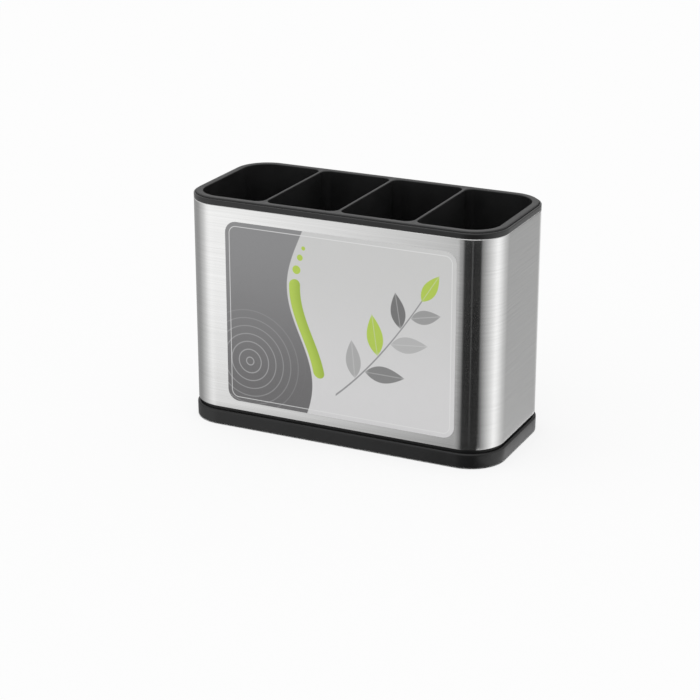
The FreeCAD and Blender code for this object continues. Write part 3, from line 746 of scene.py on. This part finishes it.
# Cutlery insert
# One deep black moulding with a row of four pockets, hung by its lip in the collar and lifted out to be
# washed. Walls and dividers lean a little for the mould, and slots in each floor let the water out.
pocket_count = 4
slot_count = 4
lip_round = 0.9 * MM
tub_gap = 0.4 * MM
tub_step = bore_step + tub_gap
insert_wall = 1.8 * MM
insert_draw = 1.2 * MM
divider = 2.0 * MM
pocket_round = 6.0 * MM
mouth_edge = 0.55 * MM
insert_floor = 2.0 * MM
pocket_floor = insert_low[2] + insert_floor
floor_round = 2.5 * MM
floor_steps = 8
tub_foot_edge = 0.8 * MM
slot_size = np.array([4.0, 54.0]) * MM
slot_pitch = 9.0 * MM
slot_corner = 1.0 * MM
slot_edge = 0.3 * MM
slot_margin = 3.0 * MM
slot_turns = 6
insert_turns = 16
square = [0] * 4
cell_stops = np.array([0.04, 0.5, 0.96])
lip_step = insert_low[0] - sleeve_low[0]
pocket_step = tub_step + insert_wall
pocket_width = (sleeve_high[0] - sleeve_low[0] - 2 * pocket_step + divider) / pocket_count - divider
pocket_pitch = pocket_width + divider
splits = (np.arange(pocket_count + 1) - pocket_count / 2) * pocket_pitch
bounds_x = np.clip(splits, run_start, run_start + run_length)
cell_places = bounds_x[:-1, None] + np.diff(bounds_x)[:, None] * np.append(cell_stops, 1)
lip_stops = (np.unique(cell_places.round(9))[:-1] - run_start) / run_length


def cell_outline(place, step):
    """One pocket's share of the insert's plan at a step: the plan's corners at an end of the row, and
    square corners where it meets its neighbours in the middle of a divider."""
    half_length, half_depth = sleeve_high[:2] - step
    ends = place == 0, place == pocket_count - 1
    left = -half_length if ends[0] else splits[place]
    right = half_length if ends[1] else splits[place + 1]
    left_radius, right_radius = (sleeve_corner - step if end else 0 for end in ends)
    radii = [right_radius, right_radius, left_radius, left_radius]
    return outline((left, -half_depth), (right, half_depth), radii, insert_turns, cell_stops)


def pocket_outline(place):
    """A pocket's mouth: round corners at an end of the row, tighter ones beside a divider."""
    half_depth = sleeve_high[1] - pocket_step
    left = splits[place] + divider / 2
    ends = place == 0, place == pocket_count - 1
    left_radius, right_radius = (sleeve_corner - pocket_step if end else pocket_round for end in ends)
    radii = [right_radius, right_radius, left_radius, left_radius]
    return outline((left, -half_depth), (left + pocket_width, half_depth), radii, insert_turns, cell_stops)


def slotted(middle):
    """The slots of one floor: each in its own strip, from the strip's border on the floor, down through the
    slot and back to the border underneath."""
    strips = []
    for place in range(slot_count):
        centre = np.array([middle + (place - (slot_count - 1) / 2) * slot_pitch, 0])
        strip = np.array([slot_pitch, slot_size[1] + 2 * slot_margin])
        border = outline(centre - strip / 2, centre + strip / 2, square, slot_turns)
        hole = outline(centre - slot_size / 2, centre + slot_size / 2, [slot_corner] * 4, slot_turns)
        edges = rounded([
            (-2 * slot_edge, pocket_floor, 0),
            (0, pocket_floor, slot_edge),
            (0, insert_low[2], slot_edge),
            (-2 * slot_edge, insert_low[2], 0),
        ], few_steps)
        strips.append(np.concatenate([
            carry(border, [(0, pocket_floor)]),
            carry(hole, edges),
            carry(border, [(0, insert_low[2])]),
        ]))
    return strips


outside_profile = rounded([
    (tub_step + insert_draw + 2 * tub_foot_edge, insert_low[2], 0),
    (tub_step + insert_draw, insert_low[2], tub_foot_edge),
    (tub_step, lip_seat, 0),
    (lip_step, lip_seat, basin_edge),
    (lip_step, insert_high[2], lip_round),
    (lip_step + 2 * lip_round, insert_high[2], 0),
])[:-2]
land_step = outside_profile[-1][0]
sole_step = outside_profile[0][0]
pocket_profile = rounded([
    (-2 * mouth_edge, insert_high[2], 0),
    (0, insert_high[2], mouth_edge),
    (insert_draw, pocket_floor, floor_round),
    (insert_draw + 2 * floor_round, pocket_floor, 0),
], floor_steps)[2:]
insert_plan = sleeve_plan(insert_turns, lip_stops)
insert_parts = [carry(insert_plan, outside_profile)]
for place in range(pocket_count):
    middle = (splits[place] + splits[place + 1]) / 2
    if place in (0, pocket_count - 1):
        middle = splits[place] + divider / 2 + pocket_width / 2
    half_block = np.array([slot_count * slot_pitch / 2, slot_size[1] / 2 + slot_margin])
    centre = np.array([middle, 0])
    strip_ends = np.arange(1, slot_count) / slot_count
    floor_block = outline(centre - half_block, centre + half_block, square, insert_turns, strip_ends)
    insert_parts.append(np.concatenate([
        carry(cell_outline(place, land_step), [(0, insert_high[2])]),
        carry(pocket_outline(place), pocket_profile),
        carry(floor_block, [(0, pocket_floor)]),
    ]))
    insert_parts.append(np.concatenate([
        carry(floor_block, [(0, insert_low[2])]),
        carry(cell_outline(place, sole_step), [(0, insert_low[2])]),
    ]))
    insert_parts += slotted(middle)
insert = make_piece("cutlery_insert_moulding", insert_parts, "insert", "cutlery_insert")
insert.data.materials.append(moulded_black("insert_black", 0.38))

# Front label
# Thin printed film, stuck on the flat of the front: a pale field and a grey panel that meet in a wave, with
# a lime ribbon and dots along it, ripples in the panel, and a sprig of leaves on the field.
label_low, label_high = (np.array(corner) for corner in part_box("front_label"))
label_corner = 8.0 * MM
label_turns = 12
film_edge = 0.06 * MM
film_mirror = 0.5
film_roughness = 0.30
mottle_scale = 900
mottle_roughness = 0.08
paper = (0.62, 0.62, 0.615, 1)
paper_low = (0.70, 0.695, 0.70, 1)
panel_high = (0.255, 0.255, 0.26, 1)
panel_low = (0.150, 0.147, 0.150, 1)
ripple_grey = (0.42, 0.42, 0.425, 1)
lime = (0.455, 0.610, 0.085, 1)
lime_dark = (0.335, 0.475, 0.050, 1)
frame_white = (0.80, 0.80, 0.80, 1)
line_grey = (0.30, 0.30, 0.305, 1)

# The print's own sizes are in millimetres, from the label's lower left corner.
print_soft = 0.25
wave_middle = 54
wave_swing = 9
wave_length = 21
wave_shift = 0.6
drop_middle = (17, 30)
ripple_pitch = 5.5
ripple_half_line = 0.35
ripple_reach = 41
ripple_fade = 46
ribbon_span = (30, 88)
ribbon_offset = 5.6
ribbon_half = 4.0
ribbon_shading = 11
stem_root = (84, 20)
stem_slope = 0.9
stem_bend = 0.006
stem_run = (-4, 57)
stem_half_line = 0.45
stem_lean = 0.62
leaf_taper = 0.25
vein_half_line = 0.28
vein_share = 0.86
vein_fade = 0.65
vein_lift = 0.25
border_inset = 3.0
border_half_line = 0.2

# Each dot has its height and radius. Each leaf has its middle across and up, its length, half width and
# angle, and its grey, or none where it is lime.
dots = ((98.5, 2.9), (107.0, 2.1), (113.5, 1.4))
leaves = (
    (92.6, 43.5, 26, 5.2, 95.6, 0.42),
    (115.0, 35.9, 28, 5.6, -0.5, 0.24),
    (107.8, 62.3, 28, 5.6, 98.5, None),
    (131.9, 58.9, 26, 5.4, 5.6, 0.48),
    (123.9, 81.2, 24, 5.0, 99.3, 0.18),
    (143.2, 79.4, 21, 4.6, 12.0, 0.34),
    (146.2, 98.8, 22, 4.6, 57.5, None),
)


def printed_film():
    """Satin printed film. Each motif is a mask on the label's own x and z, in millimetres from its lower
    left corner, and is laid over what is under it."""
    material, start, shader, place = new_finish("label_print", {"Specular IOR Level": film_mirror})
    x, _, z = place.axes()
    across = (x - float(label_low[0])) / MM
    upward = (z - float(label_low[2])) / MM
    width, height = (float(side) for side in (label_high - label_low)[[0, 2]] / MM)

    def within(distance):
        """1 where a distance in millimetres is below 0, with a soft edge."""
        return 1 - distance.rise(-print_soft, print_soft)

    def length(first, second):
        """The root of the sum of two squares."""
        return (first * first + second * second).alone("SQRT")

    shade = (upward / height).rise(0.0, 1.0)
    colour = shade.blend(paper_low, paper)
    wave = wave_middle + wave_swing * (upward / wave_length + wave_shift).alone("SINE")
    panel = within(across - wave)
    colour = panel.blend(colour, shade.blend(panel_low, panel_high))

    drop = length(across - drop_middle[0], upward - drop_middle[1])
    from_ring = abs((drop / ripple_pitch).alone("FRACT") - 0.5) * ripple_pitch
    ripple = within(from_ring - ripple_half_line)
    ripple = ripple * panel * within(drop - ripple_reach) * (1 - drop / ripple_fade).larger(0.0)
    colour = ripple.blend(colour, ripple_grey)

    past_end = (upward - ribbon_span[0]).smaller(0.0) + (upward - ribbon_span[1]).larger(0.0)
    ribbon = within(length(across - wave - ribbon_offset, past_end) - ribbon_half)
    ribbon_shade = ((across - wave) / ribbon_shading).rise(0.2, 1.0)
    colour = ribbon.blend(colour, ribbon_shade.blend(lime, lime_dark))
    for rise, radius in dots:
        reach = wave_middle + wave_swing * math.sin(rise / wave_length + wave_shift) + ribbon_offset
        dot = within(length(across - reach, upward - rise) - radius)
        colour = dot.blend(colour, lime)

    along = across - stem_root[0]
    stem = stem_root[1] + along * stem_slope + along * along * stem_bend
    stem_line = within(abs(upward - stem) * stem_lean - stem_half_line)
    from_root = (along - stem_run[0]).rise(-print_soft, print_soft)
    stem_line = stem_line * from_root * within(along - stem_run[1])
    colour = stem_line.blend(colour, line_grey)
    for middle, level, span, half_width, angle, grey in leaves:
        turn = math.radians(angle)
        from_x, from_z = across - middle, upward - level
        lengthwise = from_x * math.cos(turn) + from_z * math.sin(turn)
        sideways = abs(from_z * math.cos(turn) - from_x * math.sin(turn))
        share = lengthwise * (2 / span)
        edge = half_width * (1 - share * share) * (1 - share * leaf_taper)
        blade = within(sideways - edge) * within(abs(share) - 1)
        vein = within(sideways - vein_half_line) * within(abs(share) - vein_share)
        tint = lime if grey is None else (grey, grey, grey, 1)
        paler = tuple(vein_fade * part + vein_lift for part in tint[:3]) + (1,)
        colour = blade.blend(colour, tint)
        colour = vein.blend(colour, paler)

    corner = label_corner / MM
    side_x = (abs(across - width / 2) - (width / 2 - corner)).larger(0.0)
    side_z = (abs(upward - height / 2) - (height / 2 - corner)).larger(0.0)
    border = within(abs(length(side_x, side_z) - corner + border_inset) - border_half_line)
    colour = border.blend(colour, frame_white)
    roughness = film_roughness + place.grain(mottle_scale) * mottle_roughness
    start.feed(shader, {"Base Color": colour, "Roughness": roughness})
    return material


label_ring = outline(
    label_low[[0, 2]], label_high[[0, 2]], [label_corner] * 4, label_turns, short_ends, short_ends
)
film = label_high[1] - label_low[1]
flat_grid = carry(label_ring, rounded([
    (label_corner, 0, 0),
    (0, 0, 0),
    (0, film, film_edge),
    (label_corner, film, 0),
], few_steps))
label_grid = np.stack([flat_grid[..., 0], label_high[1] - flat_grid[..., 2], flat_grid[..., 1]], axis=2)
label_rows, label_columns = label_grid.shape[:2]
label_faces = ring_faces(label_rows, label_columns).tolist()
label_faces.append(list(range(label_columns))[::-1])
label_faces.append(list(range((label_rows - 1) * label_columns, label_rows * label_columns)))
label = make_piece(
    "front_label_film", [label_grid], "shell", "front_label", faces=label_faces
)
label.data.materials.append(printed_film())

# Floor and studio light
# Pale seamless floor, shaded under the holder, with soft light from all round and one wide lamp above. A
# graded card round the holder and a white strip beside its right end are seen only in reflections, as in a
# studio, and give the steel its bands and the base its sheen.
floor_radius = 8.0
floor_colour = (0.93, 0.93, 0.93, 1)
floor_lift = 0.80
floor_turns = 24


def seen_rays(start):
    """1 for rays from the camera and for those that a surface mirrors or lets through, 0 for others."""
    path = start.node("ShaderNodeLightPath").socket.node
    direct, mirrored, through = (
        Signal(start.tree, path.outputs[f"Is {kind} Ray"]) for kind in ("Camera", "Glossy", "Transmission")
    )
    return direct.larger(mirrored).larger(through)


def floor_paint(name, lift):
    """White floor paint, lifted by a share towards the background's white where it is seen."""
    matt = {"Base Color": floor_colour, "Roughness": 0.9, "Specular IOR Level": 0.0}
    material, start, shader, _ = new_finish(name, matt)
    white = start.node("ShaderNodeEmission", None, {"Color": (1, 1, 1, 1), "Strength": 1.0})
    paint = Signal(start.tree, shader.outputs[0])
    lifted = start.node("ShaderNodeMixShader", None, {0: seen_rays(start) * lift, 1: paint, 2: white})
    start.feed(material.node_tree.nodes["Material Output"], {"Surface": lifted})
    return material


def stage_piece(name, points, faces, material):
    """A mesh that belongs to the studio and not to the holder."""
    mesh = bpy.data.meshes.new(name)
    mesh.from_pydata(points.reshape(-1, 3), [], faces)
    mesh.materials.append(material)
    piece = bpy.data.objects.new(name, mesh)
    bpy.context.scene.collection.objects.link(piece)
    return piece


under_row = carry(sleeve_plan(floor_turns), [(foot_step, 0)])
far_ring = outline((-floor_radius,) * 2, (floor_radius,) * 2, [floor_radius] * 4, floor_turns)
floor_rows = np.concatenate([carry(far_ring, [(0, 0)]), under_row])
under_faces = [list(range(under_row.shape[1]))]
stage_piece("floor_under", under_row, under_faces, floor_paint("floor_in_shade", 0.0))
floor = stage_piece(
    "floor", floor_rows, ring_faces(*floor_rows.shape[:2]).tolist(), floor_paint("floor_paint", floor_lift)
)
floor.visible_glossy = False

card_radius = 0.60
card_span = (-3.0, 1.05)
card_steps = 180
card_level = 1.2
card_foot_zone = (-0.30, -0.04)
card_top_zone = (0.10, 0.30)
card_top_grey = (0.58, 0.58, 0.58, 1)
shelf_foot_zone = (0.02, 0.08)
shelf_top_zone = (0.22, 0.30)
shelf_start = (0.88, 0.92)
shelf_grey = (0.05, 0.05, 0.05, 1)
strip_width = 6.5 * MM
strip_half_length = 60.0 * MM
strip_lift = 0.2 * MM

# The card's greys by the angle round the holder, from the front: at the holder's height, and low down.
card_greys = (
    (-180, 0.80), (-160, 0.55), (-150, 0.40), (-100, 0.32), (-87, 0.37), (-67, 0.66), (-55, 0.96),
    (-46, 1.05), (-34, 1.04), (-14, 0.63), (-8.5, 0.37), (-1, 0.31), (5.5, 0.03), (24.5, 0.015),
    (27, 0.11), (29.5, 0.015), (48.5, 0.025), (52, 0.22), (72, 0.61), (94, 1.04), (101, 1.03),
    (124, 0.62), (147, 0.40), (160, 0.46), (170, 0.80), (180, 0.80),
)
card_low_greys = (
    (-180, 0.40), (-100, 0.26), (-67, 0.60), (-46, 0.78), (-26, 0.54), (-14, 0.32), (-4, 0.17), (4, 0.025),
    (55, 0.025), (58, 0.18), (95, 1.05), (124, 0.62), (147, 0.46), (180, 0.42),
)


def lit_paper(name):
    """A material with nothing in it yet, and a signal to build its nodes from. It is no lamp, and shines
    only where it is mirrored."""
    material = bpy.data.materials.new(name)
    material.use_nodes = True
    material.node_tree.nodes.clear()
    material.cycles.emission_sampling = "NONE"
    return material, Signal(material.node_tree)


def shine(material, start, colour, level):
    """Ends a lit paper's nodes in a glow of one colour or of a colour signal."""
    glow = start.node("ShaderNodeEmission", None, {"Color": colour, "Strength": level})
    start.feed(material.node_tree.nodes.new("ShaderNodeOutputMaterial"), {"Surface": glow})
    return material


def white_paper():
    """The strip's plain white paper."""
    material, start = lit_paper("strip_paper")
    return shine(material, start, (1, 1, 1, 1), 1.0)


def graded_paper():
    """The card's paper: greys by the angle round the holder, other ones low down, one grey along the top,
    and a dark shelf behind, on the right."""
    material, start = lit_paper("card_paper")
    x, y, z = start.node("ShaderNodeTexCoord", output="Object").axes()
    turn = x.math("ARCTAN2", x, y * -1) / (2 * math.pi) + 0.5
    greys = []
    for row in (card_greys, card_low_greys):
        stops = [((angle + 180) / 360, (grey / card_level,) * 3 + (1,)) for angle, grey in row]
        greys.append(start.node("ShaderNodeValToRGB", {"stops": stops}, {"Fac": turn}))
    colour = z.rise(*card_foot_zone).blend(greys[1], greys[0])
    colour = z.rise(*card_top_zone).blend(colour, card_top_grey)
    shelf = z.rise(*shelf_foot_zone) * (1 - z.rise(*shelf_top_zone)) * turn.rise(*shelf_start)
    colour = shelf.blend(colour, shelf_grey)
    return shine(material, start, colour, card_level)


card_angle = np.radians(np.linspace(-180, 180, card_steps, endpoint=False))
card_plan = np.stack([np.sin(card_angle), -np.cos(card_angle)], axis=1) * card_radius
card_grid = np.stack([np.column_stack([card_plan, np.full(card_steps, level)]) for level in card_span])
card = stage_piece("graded_card", card_grid, ring_faces(2, card_steps).tolist(), graded_paper())
strip_low, strip_high = (tray_high[0], -strip_half_length), (tray_high[0] + strip_width, strip_half_length)
strip_row = carry(outline(strip_low, strip_high, square, 1), [(0, strip_lift)])
strip = stage_piece("floor_strip", strip_row, [list(range(strip_row.shape[1]))], white_paper())
for kind in ("camera", "diffuse", "transmission", "shadow", "volume_scatter"):
    setattr(card, f"visible_{kind}", False)
    setattr(strip, f"visible_{kind}", False)

sky_level = 0.75
lamp_spread = math.radians(80)
lamp_level = 0.8
lamp_tilt = (math.radians(22), math.radians(-16), 0)
world = bpy.data.worlds.new("studio")
bpy.context.scene.world = world
world.use_nodes = True
world.node_tree.nodes.clear()
sky = Signal(world.node_tree)
sky_strength = sky_level + seen_rays(sky) * (1 - sky_level)
sky_light = sky.node("ShaderNodeBackground", None, {"Color": (1, 1, 1, 1), "Strength": sky_strength})
sky.feed(world.node_tree.nodes.new("ShaderNodeOutputWorld"), {"Surface": sky_light})

lamp_data = bpy.data.lights.new("wide_lamp", "SUN")
lamp_data.angle = lamp_spread
lamp_data.energy = lamp_level
lamp = bpy.data.objects.new("wide_lamp", lamp_data)
bpy.context.scene.collection.objects.link(lamp)
lamp.rotation_euler = lamp_tilt

# Camera
# Placed as the photograph was taken: a little from the right, looking down on the rim from more than a
# metre away, through a long lens.
view_azimuth = math.radians(25.493)
view_elevation = math.radians(20.2)
view_distance = 1369.1 * MM
view_sideways = -10.43 * MM
view_lift = 47.0 * MM
focal_length = 103.34
sensor_width = 36.0
back = np.array([
    math.sin(view_azimuth) * math.cos(view_elevation),
    -math.cos(view_azimuth) * math.cos(view_elevation),
    math.sin(view_elevation),
])
right = np.array([math.cos(view_azimuth), math.sin(view_azimuth), 0])
up = np.cross(back, right)
camera_data = bpy.data.cameras.new("camera")
camera_data.lens = focal_length
camera_data.sensor_width = sensor_width
camera = bpy.data.objects.new("camera", camera_data)
bpy.context.scene.collection.objects.link(camera)
camera_place = back * view_distance + right * view_sideways + up * view_lift
camera.matrix_world = Matrix(np.column_stack([right, up, back, camera_place]).tolist()).to_4x4()
bpy.context.scene.camera = camera
bpy.context.scene.view_settings.view_transform = "Standard"
